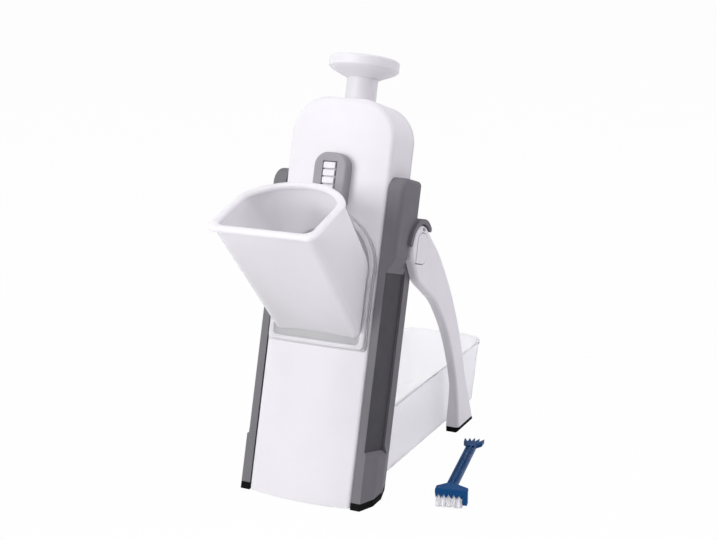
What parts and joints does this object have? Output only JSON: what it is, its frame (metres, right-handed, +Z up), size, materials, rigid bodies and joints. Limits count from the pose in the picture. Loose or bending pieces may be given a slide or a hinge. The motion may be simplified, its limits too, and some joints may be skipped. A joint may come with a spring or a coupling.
{
  "type": "vegetable cutter",
  "caption": "Upright push-down vegetable slicer: leaning body on rails and folding legs, front feed chute, sprung plunger with blade, catch container and cleaning brush",
  "frame": {"origin": "on the table, at mid-width, midway between the front edge of the front feet and the back edge of the rear feet", "axes": "+X to the right of someone facing the chute from the front, +Y to the back along the container, +Z up"},
  "size_m": [0.1902, 0.361, 0.3457],
  "materials": {
    "white_plastic": "smooth moulded",
    "chute_plastic": "smooth, slightly translucent moulded",
    "grey_plastic": "fine matte moulded",
    "foot_rubber": "matte",
    "frosted_plastic": "frosted translucent",
    "blue_plastic": "smooth moulded",
    "bristle_nylon": "fine nylon strands",
    "blade_steel": "ground",
    "spring_steel": "drawn wire",
    "screw_steel": "plated"
  },
  "bodies": {
    "frame": {"front_shell": "white_plastic", "rear_cover": "white_plastic", "cover_screws": "screw_steel", "rail_screws": "screw_steel", "lock_housing": "grey_plastic", "spring_post": "white_plastic", "return_spring": "spring_steel", "left_rail": "grey_plastic", "right_rail": "grey_plastic", "left_rail_foot": "foot_rubber", "right_rail_foot": "foot_rubber"},
    "plunger": {"plunger_knob": "white_plastic", "plunger_stem": "white_plastic", "blade_carriage": "white_plastic", "slicing_blade": "blade_steel", "blade_screws": "screw_steel"},
    "chute": {"feed_chute": "chute_plastic"},
    "lock": {"lock_slider": "white_plastic"},
    "thickness_plate": {"thickness_plate": "white_plastic"},
    "thickness_dial": {"thickness_screw": "grey_plastic", "thickness_knob": "grey_plastic", "thickness_knob_screw": "screw_steel"},
    "container": {"catch_container": "frosted_plastic"},
    "brush": {"brush_handle": "blue_plastic", "brush_bristles": "bristle_nylon"},
    "left_leg": {"left_leg": "white_plastic", "left_leg_foot": "foot_rubber", "left_leg_pivot_washer": "screw_steel", "left_leg_pivot_screw": "screw_steel", "left_leg_button_spring": "spring_steel"},
    "left_button": {"left_leg_release_button": "white_plastic"},
    "right_leg": {"right_leg": "white_plastic", "right_leg_foot": "foot_rubber", "right_leg_pivot_washer": "screw_steel", "right_leg_pivot_screw": "screw_steel", "right_leg_button_spring": "spring_steel"},
    "right_button": {"right_leg_release_button": "white_plastic"}
  },
  "joints": [
    {"name": "plunger_press", "type": "slide", "parent": "frame", "child": "plunger", "axis": [0, 0.274, 0.9617], "range_m": [0, 0.08], "deforming": ["return_spring"]},
    {"name": "chute_pull", "type": "slide", "parent": "frame", "child": "chute", "axis": [0, -0.9617, 0.274], "range_m": [0, 0.06]},
    {"name": "lock_slide", "type": "slide", "parent": "frame", "child": "lock", "axis": [0, -0.274, -0.9617], "range_m": [0, 0.004]},
    {"name": "thickness_turn", "type": "hinge", "parent": "frame", "child": "thickness_dial", "pos_m": [0, -0.02528, 0.14705], "axis": [0, 0.9617, -0.274], "range_deg": [-135, 135]},
    {"name": "thickness_feed", "type": "slide", "parent": "frame", "child": "thickness_plate", "axis": [0, 0.9617, -0.274], "range_m": [-0.004, 0.004]},
    {"name": "container_pull", "type": "slide", "parent": "frame", "child": "container", "axis": [0, 1, 0], "range_m": [0, 0.25]},
    {"name": "brush_lift", "type": "slide", "parent": "frame", "child": "brush", "axis": [0, 0, 1], "range_m": [0, 0.1]},
    {"name": "left_leg_fold", "type": "hinge", "parent": "frame", "child": "left_leg", "pos_m": [-0.058, -0.01412, 0.19097], "axis": [-1, 0, 0], "range_deg": [0, 38]},
    {"name": "left_button_press", "type": "slide", "parent": "left_leg", "child": "left_button", "axis": [1, 0, 0], "range_m": [0, 0.002], "stiffness_N_per_m": 300, "deforming": ["left_leg_button_spring"]},
    {"name": "right_leg_fold", "type": "hinge", "parent": "frame", "child": "right_leg", "pos_m": [0.058, -0.01412, 0.19097], "axis": [-1, 0, 0], "range_deg": [0, 38]},
    {"name": "right_button_press", "type": "slide", "parent": "right_leg", "child": "right_button", "axis": [-1, 0, 0], "range_m": [0, 0.002], "stiffness_N_per_m": 300, "deforming": ["right_leg_button_spring"]}
  ],
  "couplings": [
    {"joint": "thickness_turn", "follows": "thickness_feed", "rad_per_m": 589.04}
  ]
}
